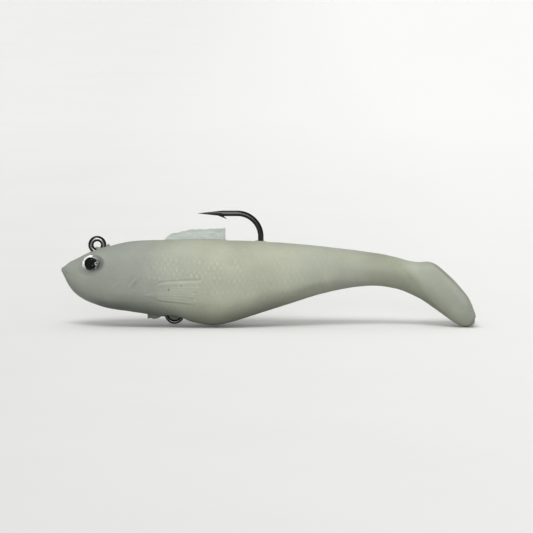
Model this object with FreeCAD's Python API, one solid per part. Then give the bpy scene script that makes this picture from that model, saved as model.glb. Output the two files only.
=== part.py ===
"""Soft paddle-tail swimbait with an internal lead ballast and a fixed jig hook.

Millimetres. The origin is the centre of the line-tie eye on top of the head.
+X runs from the snout to the tail, +Z is up, and the lure is symmetric about the XZ plane.
"""
import FreeCAD
import Part
import math
import os

# ---------------------------------------------------------------- driving dimensions
HOOK_WIRE = 1.7             # wire diameter of the jig hook
EYE_RING_OUTER = 5.55       # outer diameter of the line-tie eye
TIE_BORE = 2.25             # coined bore through the line-tie eye
HANGER_WIRE = 1.15          # wire diameter of the belly hanger
EYEBALL = 5.2               # diameter of a fish eye
GAP = 0.2                   # gap left between soft pieces that swing past each other

# The body is 127 mm long, two rails joined by ribs. Each rib runs from a point on the back rail to a point on
# the belly rail: (back x, back z, belly x, belly z, half width, sag). Sag moves the widest place
# of the rib towards the belly (+) or towards the back rail (-), as a part of the rib's length.
RIBS = [
    (-10.8, -7.1, -10.8, -8.2, 0.6, 0.00),
    (-10.3, -6.8, -10.3, -9.3, 1.6, 0.00),
    (-9.0, -5.7, -9.2, -11.7, 3.2, 0.02),
    (-7.2, -4.7, -7.5, -14.2, 4.6, 0.03),
    (-4.7, -3.45, -4.7, -16.4, 5.8, 0.03),
    (-1.7, -2.0, -1.1, -18.1, 6.7, 0.03),
    (2.6, -0.75, 3.2, -19.4, 7.4, 0.03),
    (8.2, 0.65, 8.8, -20.3, 8.0, 0.03),
    (14.9, 1.35, 15.5, -21.3, 8.45, 0.03),
    (22.9, 1.5, 23.5, -22.6, 8.7, 0.03),
    (30.9, 1.5, 30.9, -24.1, 8.8, 0.03),
    (36.1, 1.45, 35.5, -24.7, 8.7, 0.03),
    (42.5, 1.3, 41.3, -23.7, 8.4, 0.03),
    (50.5, 0.95, 49.3, -21.2, 7.8, 0.02),
    (59.1, 0.4, 58.5, -18.25, 6.9, 0.01),
    (68.3, -0.45, 67.7, -15.35, 5.6, 0.00),
    (77.5, -1.5, 76.3, -13.4, 4.4, 0.00),
    (85.5, -2.6, 83.7, -12.55, 3.5, 0.00),
    (91.7, -3.85, 88.6, -12.9, 3.05, 0.00),
    (96.6, -5.15, 93.5, -14.0, 3.1, -0.03),
    (99.0, -5.35, 95.2, -14.7, 3.5, -0.10),
    (101.5, -5.3, 96.9, -15.5, 4.2, -0.20),
    (103.3, -5.95, 98.7, -16.4, 5.0, -0.27),
    (105.35, -7.55, 100.9, -17.7, 5.8, -0.31),
    (107.7, -9.7, 103.3, -19.4, 6.4, -0.32),
    (110.2, -12.1, 105.8, -21.2, 6.7, -0.32),
    (112.45, -14.8, 108.1, -22.9, 6.6, -0.32),
    (114.5, -17.55, 110.1, -24.2, 6.0, -0.30),
    (115.7, -20.45, 111.9, -25.0, 4.9, -0.26),
    (116.1, -22.5, 113.4, -25.1, 3.5, -0.20),
    (115.9, -23.6, 114.4, -24.8, 1.9, -0.10),
]
RIB_POINTS = 16             # points round one rib's closed curve
FLATNESS = 0.82             # under 1 makes a rib's sides flatter than an ellipse's

# ---------------------------------------------------------------- places along the lure
WIRE_R = HOOK_WIRE / 2
RING_R = (EYE_RING_OUTER - HOOK_WIRE) / 2
SHANK_Z = -7.3              # height of the hook shank inside the body
NECK_BEND = 2.4             # radius of the bend between the neck and the shank
HEEL_BEND = 7.95            # radius of the bend where the shank turns up
HOOK_BACK_X = 50.15         # the upright part of the hook bend
SPEAR_BEND = 7.15           # radius of the bend above the back
SPEAR_Z = 9.7               # height of the hook's spear above the line tie
TAPER_START_X = 38.4        # the spear is ground to its point from here
POINT_X = 31.0
POINT_R = 0.06
BARB_THICKNESS = 0.6
BARB_OUTLINE = [(36.6, 9.4), (37.2, 8.95), (39.8, 7.95), (38.9, 8.75), (39.2, 9.4)]

HANGER_X = 23.65
HANGER_Z = -21.35           # centre of the hanger's half loop
HANGER_R = 2.475            # centreline radius of the half loop
HANGER_TOP = -13.0          # the legs end inside the lead
SCOOP_R = 9.0               # radius of the hollow in the belly round the hanger
SCOOP_X = 22.45             # middle of that hollow
SCOOP_TOP = -21.45
WEB_THICKNESS = 0.9         # of the tab and the flash under the belly

BALLAST_Z = -10.6           # axis of the lead casting
# (x, radius) along the lead casting, nose to tail
BALLAST_PROFILE = [(-4.5, 1.6), (-1.0, 3.7), (5.0, 5.1), (13.0, 5.5), (21.0, 5.0), (27.5, 2.9)]
SLEEVE_X = 20.0             # the sleeve cast round the shank starts inside the casting
KEEPER_X = (30.0, 33.5)     # collar cast round the shank behind the lead
KEEPER_R = (2.2, 1.5)

EYE_CENTRE = (-2.05, 5.5, -4.95)
EYE_FORWARD = 11.0          # degrees the eye is turned towards the snout
EYE_UP = 20.0               # degrees the eye is turned upwards
EYE_POCKET = 1.5            # depth of the socket under the skin
EYE_PLAY = 0.05             # gap round an eye in its socket
PUPIL_PART = 0.75           # pupil diameter over eye diameter
PUPIL_THICKNESS = 0.15
DOME_RISE = 0.9             # height of the lens's spherical cap
DOME_BASE = 0.5             # height of the lens's straight side

TAIL_HINGE_X = 67.7
TAIL_HINGE_R = 6.0          # radius of the rolling face at the root of the tail
PADDLE_HINGE = (92.2, -8.8)  # x and z of the paddle hinge
PADDLE_TILT = 25.0          # degrees the paddle hinge leans back from the vertical
PADDLE_HINGE_R = 3.5

FIN_AXIS_Z = 1.75           # hinge line of the dorsal fin, just above the back
FIN_ROOT_R = 0.4
FIN_SLOT_R = 0.62
FIN_X = (20.9, 39.3)

BIG = 200.0                 # larger than the whole lure


def vector(x, y, z):
    return FreeCAD.Vector(x, y, z)


# ---------------------------------------------------------------- soft body
def rib_ring(rib):
    """Closed smooth curve through the points of one rib, starting at its widest place."""
    back_x, back_z, belly_x, belly_z, half_width, sag = rib
    points = []
    for step in range(RIB_POINTS):
        angle = math.pi / 2 + 2 * math.pi * step / RIB_POINTS
        side = math.sin(angle)
        along = (1 - math.cos(angle)) / 2 + sag * side * side
        across = math.copysign(half_width * abs(side) ** FLATNESS, side)
        x = back_x + (belly_x - back_x) * along
        z = back_z + (belly_z - back_z) * along
        points.append(vector(x, across, z))
    ring = Part.BSplineCurve()
    even_steps = [step / RIB_POINTS for step in range(RIB_POINTS + 1)]
    ring.interpolate(Points=points, PeriodicFlag=True, Parameters=even_steps)
    return ring


def rib_spacing():
    """Distance along the body of each rib from the first, by the middles of the ribs."""
    middles = [vector(rib[0] + rib[2], 0, rib[1] + rib[3]) * 0.5 for rib in RIBS]
    travelled = [0.0]
    for before, after in zip(middles, middles[1:]):
        travelled.append(travelled[-1] + (after - before).Length)
    return travelled


def whole_fish():
    """The soft moulding from snout to paddle, before anything is cut out of it."""
    rings = [rib_ring(rib) for rib in RIBS]
    spacing = rib_spacing()
    lines = []
    for poles in zip(*[ring.getPoles() for ring in rings]):
        line = Part.BSplineCurve()
        line.interpolate(Points=list(poles), Parameters=spacing)
        lines.append(line)
    grid = [list(row) for row in zip(*[line.getPoles() for line in lines])]
    skin = Part.BSplineSurface()
    skin.buildFromPolesMultsKnots(
        grid, lines[0].getMultiplicities(), rings[0].getMultiplicities(),
        lines[0].getKnots(), rings[0].getKnots(), False, True, lines[0].Degree, rings[0].Degree)
    side = skin.toShape()
    ends = [Part.Face(Part.Wire([ring.toShape()])) for ring in (rings[0], rings[-1])]
    shell = Part.makeShell([side] + ends)
    shell.sewShape()
    return Part.Solid(shell)


def behind_hinge(x, z, tilt, radius):
    """Everything behind a hinge line, with a round front of the given radius about that line."""
    lean = math.radians(tilt)
    axis = vector(math.sin(lean), 0, math.cos(lean))
    foot = vector(x, 0, z) - axis * BIG / 2
    roller = Part.makeCylinder(radius, BIG, foot, axis)
    block = Part.makeBox(BIG, BIG, BIG, vector(0, -BIG / 2, -BIG / 2))
    block.rotate(vector(0, 0, 0), vector(0, 1, 0), tilt)
    block.translate(vector(x, 0, z))
    return roller.fuse(block)


def belly_scoop():
    """Shallow hollow across the belly that the hanger hangs in."""
    foot = vector(SCOOP_X, -BIG / 2, SCOOP_TOP - SCOOP_R)
    return Part.makeCylinder(SCOOP_R, BIG, foot, vector(0, 1, 0))


def fin_slot():
    length = FIN_X[1] - FIN_X[0] + 2 * GAP
    return Part.makeCylinder(FIN_SLOT_R, length, vector(FIN_X[0] - GAP, 0, FIN_AXIS_Z), vector(1, 0, 0))


def plate(outline, thickness):
    """Flat plate in the middle plane of the lure from its (x, z) outline."""
    points = [vector(x, -thickness / 2, z) for x, z in outline]
    face = Part.Face(Part.makePolygon(points + points[:1]))
    return face.extrude(vector(0, thickness, 0))


def dorsal_fin():
    """Thin web on the back, on a round root that lies in its slot."""
    front, back = FIN_X
    outline = [
        (front, FIN_AXIS_Z), (21.7, 2.7), (23.4, 3.6), (26.0, 4.1), (29.5, 4.5),
        (33.5, 4.65), (37.5, 4.75), (39.2, 5.15), (back, 4.7), (back, FIN_AXIS_Z),
    ]
    web = plate(outline, FIN_ROOT_R * 2)
    root = Part.makeCylinder(FIN_ROOT_R, back - front, vector(front, 0, FIN_AXIS_Z), vector(1, 0, 0))
    return web.fuse(root)


def pelvic_fin(fish, hanger):
    """Small ragged tab under the belly, from its straight front edge back to the hanger."""
    outline = [
        (15.4, -20.0), (15.4, -22.85), (16.1, -22.6), (17.1, -22.85), (18.1, -22.8),
        (18.8, -22.5), (19.4, -22.2), (20.7, -22.1), (20.7, -21.0),
    ]
    return plate(outline, WEB_THICKNESS).cut(fish.cut(belly_scoop())).cut(hanger)


def hanger_flash(fish, hanger):
    """Thin skin of moulding flash that fills the inside of the hanger's half loop."""
    disc = Part.makeCylinder(HANGER_R, WEB_THICKNESS, vector(HANGER_X, -WEB_THICKNESS / 2, HANGER_Z),
                             vector(0, 1, 0))
    return disc.cut(fish.cut(belly_scoop())).cut(hanger)


# ---------------------------------------------------------------- wire and lead
def rod(start, end, radius):
    """Straight round rod between two (x, z) points in the middle plane."""
    first = vector(start[0], 0, start[1])
    run = vector(end[0], 0, end[1]) - first
    return Part.makeCylinder(radius, run.Length, first, run)


def bend(centre, start, sweep, radius):
    """Round wire bent about a (x, z) centre, from a (x, z) start, through sweep degrees.

    The sweep runs from the snout side, under the centre, to the tail side.
    """
    middle = vector(centre[0], 0, centre[1])
    spoke = vector(start[0], 0, start[1]) - middle
    turn_axis = vector(0, -1, 0)
    section = Part.Face(Part.Wire([Part.makeCircle(radius, middle + spoke, turn_axis.cross(spoke))]))
    return section.revolve(middle, turn_axis, sweep)


def fuse_all(shapes):
    """Join the shapes one after another into one solid with no seams left between them."""
    solid = shapes[0]
    for shape in shapes[1:]:
        solid = solid.fuse(shape)
    return solid.removeSplitter()


def jig_hook():
    """One wire: line-tie eye, neck, shank, bend, spear with its barb, and point."""
    ring = Part.makeTorus(RING_R, WIRE_R, vector(0, 0, 0), vector(0, 1, 0))
    ring = ring.cut(Part.makeCylinder(TIE_BORE / 2, BIG, vector(0, -BIG / 2, 0), vector(0, 1, 0)))
    shank_end = HOOK_BACK_X - HEEL_BEND
    heel_top = SHANK_Z + HEEL_BEND
    spear_bottom = SPEAR_Z - SPEAR_BEND
    spear_start = HOOK_BACK_X - SPEAR_BEND
    wire = [
        ring,
        rod((0, -RING_R), (0, SHANK_Z + NECK_BEND), WIRE_R),
        bend((NECK_BEND, SHANK_Z + NECK_BEND), (0, SHANK_Z + NECK_BEND), 90, WIRE_R),
        rod((NECK_BEND, SHANK_Z), (shank_end, SHANK_Z), WIRE_R),
        bend((shank_end, heel_top), (shank_end, SHANK_Z), 90, WIRE_R),
        rod((HOOK_BACK_X, heel_top), (HOOK_BACK_X, spear_bottom), WIRE_R),
        bend((spear_start, spear_bottom), (HOOK_BACK_X, spear_bottom), 90, WIRE_R),
        rod((spear_start, SPEAR_Z), (TAPER_START_X, SPEAR_Z), WIRE_R),
    ]
    taper_foot = vector(TAPER_START_X, 0, SPEAR_Z)
    wire.append(Part.makeCone(WIRE_R, POINT_R, TAPER_START_X - POINT_X, taper_foot, vector(-1, 0, 0)))
    wire.append(plate(BARB_OUTLINE, BARB_THICKNESS))
    return fuse_all(wire)


def belly_hanger():
    """Wire staple whose half loop shows under the belly and whose legs are cast into the lead."""
    radius = HANGER_WIRE / 2
    front = HANGER_X - HANGER_R
    back = HANGER_X + HANGER_R
    return fuse_all([
        bend((HANGER_X, HANGER_Z), (front, HANGER_Z), 180, radius),
        rod((front, HANGER_Z), (front, HANGER_TOP), radius),
        rod((back, HANGER_Z), (back, HANGER_TOP), radius),
    ])


def ballast_weight(wires):
    """Lead casting round the shank and the hanger legs, with its keeper collar."""
    top = [vector(x, 0, BALLAST_Z + radius) for x, radius in BALLAST_PROFILE]
    outline = Part.BSplineCurve()
    outline.interpolate(Points=top)
    nose = vector(BALLAST_PROFILE[0][0], 0, BALLAST_Z)
    tail = vector(BALLAST_PROFILE[-1][0], 0, BALLAST_Z)
    rim = Part.Wire([Part.makeLine(nose, top[0]), outline.toShape(), Part.makeLine(top[-1], tail),
                     Part.makeLine(tail, nose)])
    casting = Part.Face(rim).revolve(nose, vector(1, 0, 0), 360)
    sleeve = rod((SLEEVE_X, SHANK_Z), (KEEPER_X[0], SHANK_Z), KEEPER_R[1])
    collar = Part.makeCone(KEEPER_R[0], KEEPER_R[1], KEEPER_X[1] - KEEPER_X[0],
                           vector(KEEPER_X[0], 0, SHANK_Z), vector(1, 0, 0))
    return casting.multiFuse([sleeve, collar]).cut(wires)


# ---------------------------------------------------------------- eyes
def eye_axis(side):
    """Unit vector out of the eye on one side: +1 is the right of the fish, -1 its left."""
    forward = math.radians(EYE_FORWARD)
    up = math.radians(EYE_UP)
    return vector(-math.sin(forward) * math.cos(up), side * math.cos(forward) * math.cos(up), math.sin(up))


def eye_disc(side, radius, start, thickness):
    """Disc square to the eye's axis. Start is counted outwards from the skin."""
    axis = eye_axis(side)
    centre = vector(EYE_CENTRE[0], side * EYE_CENTRE[1], EYE_CENTRE[2])
    return Part.makeCylinder(radius, thickness, centre + axis * start, axis)


def eye_dome(side):
    """Clear lens: a low spherical cap on a short cylinder, hollowed for the pupil disc."""
    radius = EYEBALL / 2
    sphere_r = (radius * radius + DOME_RISE * DOME_RISE) / (2 * DOME_RISE)
    axis = eye_axis(side)
    centre = vector(EYE_CENTRE[0], side * EYE_CENTRE[1], EYE_CENTRE[2])
    top = DOME_BASE + DOME_RISE - EYE_POCKET / 2
    ball = Part.makeSphere(sphere_r, centre + axis * (top - sphere_r))
    barrel = eye_disc(side, radius, -EYE_POCKET / 2, DOME_BASE + DOME_RISE)
    return barrel.common(ball).cut(pupil(side))


def pupil(side):
    return eye_disc(side, EYEBALL * PUPIL_PART / 2, -EYE_POCKET / 2, PUPIL_THICKNESS)


def eye_foil(side):
    """Silver cup that lines the socket."""
    return eye_disc(side, EYEBALL / 2, -EYE_POCKET, EYE_POCKET / 2)


def eye_socket(side):
    """The eye's hole, from its floor out past the skin."""
    return eye_disc(side, EYEBALL / 2 + EYE_PLAY, -EYE_POCKET, 2 * EYEBALL)


# ---------------------------------------------------------------- assembly
def build():
    fish = whole_fish()
    hook = jig_hook()
    hanger = belly_hanger()
    ballast = ballast_weight([hook, hanger])
    tail_cut = behind_hinge(TAIL_HINGE_X, 0, 0, TAIL_HINGE_R + GAP)
    tail_keep = behind_hinge(TAIL_HINGE_X, 0, 0, TAIL_HINGE_R)
    paddle_cut = behind_hinge(*PADDLE_HINGE, PADDLE_TILT, PADDLE_HINGE_R + GAP)
    paddle_keep = behind_hinge(*PADDLE_HINGE, PADDLE_TILT, PADDLE_HINGE_R)
    body = fish
    for hollow in (tail_cut, hook, hanger, ballast, belly_scoop(), fin_slot(), eye_socket(1), eye_socket(-1)):
        body = body.cut(hollow)
    nodes = {
        "body_moulding": body,
        "tail_stem": fish.common(tail_keep).cut(paddle_cut),
        "tail_paddle": fish.common(paddle_keep),
        "dorsal_fin": dorsal_fin(),
        "pelvic_fin": pelvic_fin(fish, hanger),
        "hanger_flash": hanger_flash(fish, hanger),
        "jig_hook": hook,
        "belly_hanger": hanger,
        "ballast_weight": ballast,
    }
    for side, label in ((1, "right"), (-1, "left")):
        nodes["eye_foil_" + label] = eye_foil(side)
        nodes["pupil_" + label] = pupil(side)
        nodes["eye_dome_" + label] = eye_dome(side)
    return nodes


def main():
    os.makedirs("parts", exist_ok=True)
    for name, shape in build().items():
        solids = shape.Solids
        print(name, len(solids), round(shape.Volume, 2), shape.isValid())
        result = solids[0] if len(solids) == 1 else Part.makeCompound(solids)
        result.exportStep(os.path.join("parts", name + ".step"))


main()
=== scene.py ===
"""Soft paddle-tail swimbait: moulded skin, fins, eyes, wire fittings and a pale studio.

Shapes are worked out in millimetres in the CAD frame and turned into metres when a mesh is made.
The origin is the centre of the line-tie eye, +X runs towards the tail and +Z is up.
"""

import math

import bpy
import numpy as np
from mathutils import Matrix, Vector
from mathutils.bvhtree import BVHTree


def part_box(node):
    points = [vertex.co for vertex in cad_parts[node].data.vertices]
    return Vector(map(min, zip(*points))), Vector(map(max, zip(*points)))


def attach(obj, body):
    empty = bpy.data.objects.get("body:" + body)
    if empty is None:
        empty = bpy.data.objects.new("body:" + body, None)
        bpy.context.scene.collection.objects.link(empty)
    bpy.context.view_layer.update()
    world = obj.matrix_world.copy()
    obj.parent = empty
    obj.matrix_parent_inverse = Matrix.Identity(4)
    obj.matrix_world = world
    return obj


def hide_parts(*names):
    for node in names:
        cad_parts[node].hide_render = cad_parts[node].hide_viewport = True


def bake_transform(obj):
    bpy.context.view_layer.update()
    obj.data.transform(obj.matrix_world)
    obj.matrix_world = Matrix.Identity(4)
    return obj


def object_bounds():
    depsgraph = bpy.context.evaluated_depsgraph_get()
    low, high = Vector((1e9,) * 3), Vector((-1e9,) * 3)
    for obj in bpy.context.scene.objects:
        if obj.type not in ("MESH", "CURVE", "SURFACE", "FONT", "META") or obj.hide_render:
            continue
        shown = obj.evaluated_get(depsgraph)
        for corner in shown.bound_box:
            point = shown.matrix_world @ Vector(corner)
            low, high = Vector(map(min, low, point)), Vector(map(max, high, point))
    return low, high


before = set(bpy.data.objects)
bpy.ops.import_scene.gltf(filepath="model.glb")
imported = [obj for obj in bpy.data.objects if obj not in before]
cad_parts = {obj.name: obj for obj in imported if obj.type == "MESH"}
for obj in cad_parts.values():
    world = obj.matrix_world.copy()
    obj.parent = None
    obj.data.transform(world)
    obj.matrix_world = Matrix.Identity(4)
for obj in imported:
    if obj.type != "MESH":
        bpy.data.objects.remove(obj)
CAD_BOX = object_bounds()

# ---------------------------------------------------------------- driving dimensions
DRAWN_LENGTH = 126.906      # snout to tail tip at which the ribs are drawn
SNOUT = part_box("body_moulding")[0]
TAIL_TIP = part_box("tail_paddle")[1]
UNIT = (TAIL_TIP.x - SNOUT.x) / DRAWN_LENGTH    # metres in one drawn millimetre
FLOOR_Z = CAD_BOX[0].z

# The skin is two rails joined by ribs, as in the CAD model:
# (back x, back z, belly x, belly z, half width, sag).
RIBS = [
    (-10.8, -7.1, -10.8, -8.2, 0.6, 0.00),
    (-10.3, -6.8, -10.3, -9.3, 1.6, 0.00),
    (-9.0, -5.7, -9.2, -11.7, 3.2, 0.02),
    (-7.2, -4.7, -7.5, -14.2, 4.6, 0.03),
    (-4.7, -3.45, -4.7, -16.4, 5.8, 0.03),
    (-1.7, -2.0, -1.1, -18.1, 6.7, 0.03),
    (2.6, -0.75, 3.2, -19.4, 7.4, 0.03),
    (8.2, 0.65, 8.8, -20.3, 8.0, 0.03),
    (14.9, 1.35, 15.5, -21.3, 8.45, 0.03),
    (22.9, 1.5, 23.5, -22.6, 8.7, 0.03),
    (30.9, 1.5, 30.9, -24.1, 8.8, 0.03),
    (36.1, 1.45, 35.5, -24.7, 8.7, 0.03),
    (42.5, 1.3, 41.3, -23.7, 8.4, 0.03),
    (50.5, 0.95, 49.3, -21.2, 7.8, 0.02),
    (59.1, 0.4, 58.5, -18.25, 6.9, 0.01),
    (68.3, -0.45, 67.7, -15.35, 5.6, 0.00),
    (77.5, -1.5, 76.3, -13.4, 4.4, 0.00),
    (85.5, -2.6, 83.7, -12.55, 3.5, 0.00),
    (91.7, -3.85, 88.6, -12.9, 3.05, 0.00),
    (96.6, -5.15, 93.5, -14.0, 3.1, -0.03),
    (99.0, -5.35, 95.2, -14.7, 3.5, -0.10),
    (101.5, -5.3, 96.9, -15.5, 4.2, -0.20),
    (103.3, -5.95, 98.7, -16.4, 5.0, -0.27),
    (105.35, -7.55, 100.9, -17.7, 5.8, -0.31),
    (107.7, -9.7, 103.3, -19.4, 6.4, -0.32),
    (110.2, -12.1, 105.8, -21.2, 6.7, -0.32),
    (112.45, -14.8, 108.1, -22.9, 6.6, -0.32),
    (114.5, -17.55, 110.1, -24.2, 6.0, -0.30),
    (115.7, -20.45, 111.9, -25.0, 4.9, -0.26),
    (116.1, -22.5, 113.4, -25.1, 3.5, -0.20),
    (115.9, -23.6, 114.4, -24.8, 1.9, -0.10),
]
FLATNESS = 0.82             # under 1 makes a rib's sides flatter than an ellipse's
COLUMNS = 256               # points round the skin
ANGLES = 2 * math.pi * np.arange(COLUMNS) / COLUMNS
SPLIT_X = 80.0              # the front and rear skins meet here, half way along the stem

EYE_FORWARD = 11.0          # degrees the eye is turned towards the snout
EYE_UP = 20.0               # degrees the eye is turned upwards
FOIL_DEPTH = 1.125          # the middle of the silver foil lies this far under the skin

SCOOP_X = 22.45             # hollow in the belly round the hanger
SCOOP_R = 9.0
SCOOP_TOP = -21.45
SCOOP_EDGE = 0.25           # how softly its edge is rounded
SCOOP_BELOW = -19.0         # only the skin below this height is hollowed


# ---------------------------------------------------------------- small maths
def smoothstep(low, high, value):
    t = np.clip((value - low) / (high - low), 0.0, 1.0)
    return t * t * (3 - 2 * t)


def hump(value, width):
    """Bell curve: 1 at 0, and almost nothing two widths away."""
    return np.exp(-(value / width) ** 2)


def stretch(value, start, full, fading, end):
    """1 from full to fading, with smooth slopes down to 0 at start and end."""
    return smoothstep(start, full, value) * (1 - smoothstep(fading, end, value))


def curve_through(stations, values, where):
    """Natural cubic curve through the values at the stations, read at the places in where."""
    stations = np.asarray(stations, float)
    values = np.asarray(values, float)
    gaps = np.diff(stations)
    slopes = np.diff(values) / gaps
    count = len(stations)
    system = np.eye(count)
    right = np.zeros(count)
    for i in range(1, count - 1):
        system[i, i - 1:i + 2] = gaps[i - 1], 2 * (gaps[i - 1] + gaps[i]), gaps[i]
        right[i] = 6 * (slopes[i] - slopes[i - 1])
    bends = np.linalg.solve(system, right)
    left = np.clip(np.searchsorted(stations, where, side="right") - 1, 0, count - 2)
    gap = gaps[left]
    t = where - stations[left]
    first = slopes[left] - gap * (2 * bends[left] + bends[left + 1]) / 6
    third = (bends[left + 1] - bends[left]) / (6 * gap)
    return values[left] + t * (first + t * (bends[left] / 2 + t * third))


def line_through(points, where):
    """Straight runs through (x, value) points, read at the places in where."""
    xs, values = zip(*points)
    return np.interp(where, xs, values)


def distance_to_run(x, z, start, end):
    """Distance in the middle plane from a straight run, and how far along it, from 0 to 1."""
    run_x, run_z = end[0] - start[0], end[1] - start[1]
    length2 = run_x * run_x + run_z * run_z
    t = np.clip(((x - start[0]) * run_x + (z - start[1]) * run_z) / length2, 0, 1)
    return np.hypot(x - start[0] - t * run_x, z - start[1] - t * run_z), t


# ---------------------------------------------------------------- plain skin
def rib_spacing():
    """Distance along the body of each rib from the first, by the middles of the ribs."""
    middles = np.array([((r[0] + r[2]) / 2, (r[1] + r[3]) / 2) for r in RIBS])
    steps = np.hypot(*np.diff(middles, axis=0).T)
    return np.concatenate([[0.0], np.cumsum(steps)])


def plain_skin(stations, angles):
    """Grid of points of the smooth moulding: one row a station, one column an angle from the back."""
    spacing = rib_spacing()
    columns = np.array(RIBS).T
    back_x, back_z, belly_x, belly_z, half, sag = [
        curve_through(spacing, column, stations)[:, None] for column in columns]
    side = np.sin(angles)[None, :]
    along = (1 - np.cos(angles))[None, :] / 2 + sag * side * side
    across = np.sign(side) * half * np.abs(side) ** FLATNESS
    x = back_x + (belly_x - back_x) * along
    z = back_z + (belly_z - back_z) * along
    return np.stack([x, across + 0 * x, z], axis=-1)


def normals_of(grid):
    """Unit normals of a grid that closes round its columns, pointing out of the body."""
    down_rows = np.gradient(grid, axis=0)
    round_columns = np.roll(grid, -1, axis=1) - np.roll(grid, 1, axis=1)
    normal = np.cross(round_columns, down_rows)
    length = np.linalg.norm(normal, axis=-1, keepdims=True)
    normal = normal / np.maximum(length, 1e-9)
    middle = grid.mean(axis=1, keepdims=True)
    outward = np.sum(normal * (grid - middle), axis=-1).mean()
    return normal if outward > 0 else -normal


def girth(grid):
    """Arc length round each row, counted from the middle of the flank on either side."""
    step = np.linalg.norm(np.roll(grid, -1, axis=1) - grid, axis=-1)
    run = np.concatenate([np.zeros((len(grid), 1)), np.cumsum(step, axis=1)[:, :-1]], axis=1)
    quarter = COLUMNS // 4
    left = run - run[:, quarter:quarter + 1]
    right = run[:, 3 * quarter:3 * quarter + 1] - run
    columns = np.arange(COLUMNS)[None, :]
    return np.where(columns <= 2 * quarter, left, right)


def turns(count):
    """Angles of a full turn in even steps."""
    return 2 * math.pi * np.arange(count) / count


def back_line(grid, x):
    """Height of the back at the places in x."""
    return np.interp(x, grid[:, 0, 0], grid[:, 0, 2])


def belly_line(grid, x):
    """Height of the belly at the places in x."""
    half = COLUMNS // 2
    order = np.argsort(grid[:, half, 0])
    return np.interp(x, grid[order, half, 0], grid[order, half, 2])


# ---------------------------------------------------------------- moulded relief
SCALE_PITCH = 1.75          # along the body
SCALE_ROW = 1.5             # round the body
SCALE_REACH = 0.82          # a scale's radius, in pitches
SCALE_LIP = 0.07            # height of a scale's free edge
SCALE_RIB = 0.25            # height of the blunt rib down a scale
RIB_HALF = 0.235            # half the width of that rib, in pitches
RIB_REACH = 0.42            # and half its length


def uneven(row, column):
    """Steady number from 0 to 1 for each scale, unlike its neighbours'."""
    return np.mod(np.abs(np.sin(12.9898 * row + 78.233 * column)) * 437.5, 1.0)


def scales(along, around):
    """Height of overlapping scales: each has a free round edge on its tail side and a blunt rib."""
    u = along / SCALE_PITCH
    v = around / SCALE_ROW
    lips = np.zeros_like(u)
    ribs = np.zeros_like(u)
    front = np.full_like(u, np.inf)
    for row_step in (-1, 0, 1):
        row = np.round(v) + row_step
        shift = 0.5 * np.mod(row, 2)
        for step in (-1, 0, 1):
            centre = np.round(u - shift) + shift + step
            du = u - centre
            dv = (v - row) * SCALE_ROW / SCALE_PITCH
            distance = np.hypot(du, dv) / SCALE_REACH
            covers = (distance < 1) & (centre < front)
            lift = (0.5 + 0.5 * du / SCALE_REACH) * (1 - distance ** 8)
            lips = np.where(covers, lift, lips)
            front = np.where(covers, centre, front)
            strength = 0.1 + 0.9 * uneven(row, centre) ** 1.5
            bowed = du + 0.25 * dv * dv
            ribs = np.maximum(ribs, strength * hump(bowed, RIB_HALF) * hump(dv, RIB_REACH))
    return SCALE_LIP * lips + SCALE_RIB * ribs


def scale_mask(x, z, around):
    """Where the scales show: clear on the forward flank, faint further back, none on back or belly."""
    flank = stretch(around, -11.5, -7.5, 8.0, 11.0)
    clear = stretch(x, 13.0, 20.0, 36.0, 50.0) * hump(z + 6.2, 5.2)
    length = stretch(x, 11.0, 17.0, 64.0, 84.0)
    patchy = 0.62 + 0.38 * np.sin(0.62 * x + 0.9 * z) * np.sin(0.33 * x - 0.8 * z + 0.6)
    return flank * length * (0.30 + 0.70 * clear) * patchy


# Top and bottom edges of the pectoral fin, as (x, z).
FIN_TOP = [(13.6, -13.6), (16.5, -12.2), (19.5, -10.9), (22.0, -10.5), (26.0, -10.25), (32.5, -10.1)]
FIN_BOTTOM = [(13.6, -14.6), (16.5, -15.4), (19.2, -16.1), (24.7, -16.7), (28.7, -17.15), (32.5, -17.35)]
# (height over the fin's, x where it starts, how high it stands)
FIN_RAYS = [
    (0.09, 17.0, 0.05), (0.20, 13.6, 0.08), (0.33, 13.4, 0.08), (0.45, 14.6, 0.05), (0.58, 20.5, 0.035),
    (0.72, 22.5, 0.05), (0.88, 19.5, 0.05),
]


def pectoral_fin(x, z):
    """Height of the pectoral fin folded against the flank, and where it is, from 0 to 1."""
    top = line_through(FIN_TOP, x)
    depth = top - line_through(FIN_BOTTOM, x)
    share = (z - top) / depth + 1
    ragged = 29.0 + 3.2 * share + 0.55 * np.sin(21.0 * share) + 0.3 * np.sin(47.0 * share)
    edge = stretch(share, -0.05, 0.06, 0.94, 1.05)
    rear = 1 - smoothstep(ragged - 1.3, ragged, x)
    height = 0.075 * smoothstep(14.5, 20.5, x) * edge * rear
    for place, start, rise in FIN_RAYS:
        begun = smoothstep(start, start + 2.5, x)
        height = height + rise * begun * rear * hump((share - place) * depth, 0.24)
    rim = smoothstep(18.0, 20.0, x) * rear
    for place, side in ((0.99, 1), (0.01, -1)):
        off = (share - place) * depth * side
        height = height + rim * (0.05 * hump(off + 0.2, 0.25) - 0.085 * hump(off - 0.3, 0.28))
    return height, edge * rear * smoothstep(13.6, 17.0, x)


# (start, end, half width, height) of each fold of the gill cover
GILL_FOLDS = [
    ((9.4, -12.5), (11.9, -9.6), 0.28, 0.15),
    ((4.2, -12.6), (7.6, -10.4), 0.35, 0.07),
    ((10.7, -12.9), (13.5, -9.2), 0.5, -0.08),
]


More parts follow.
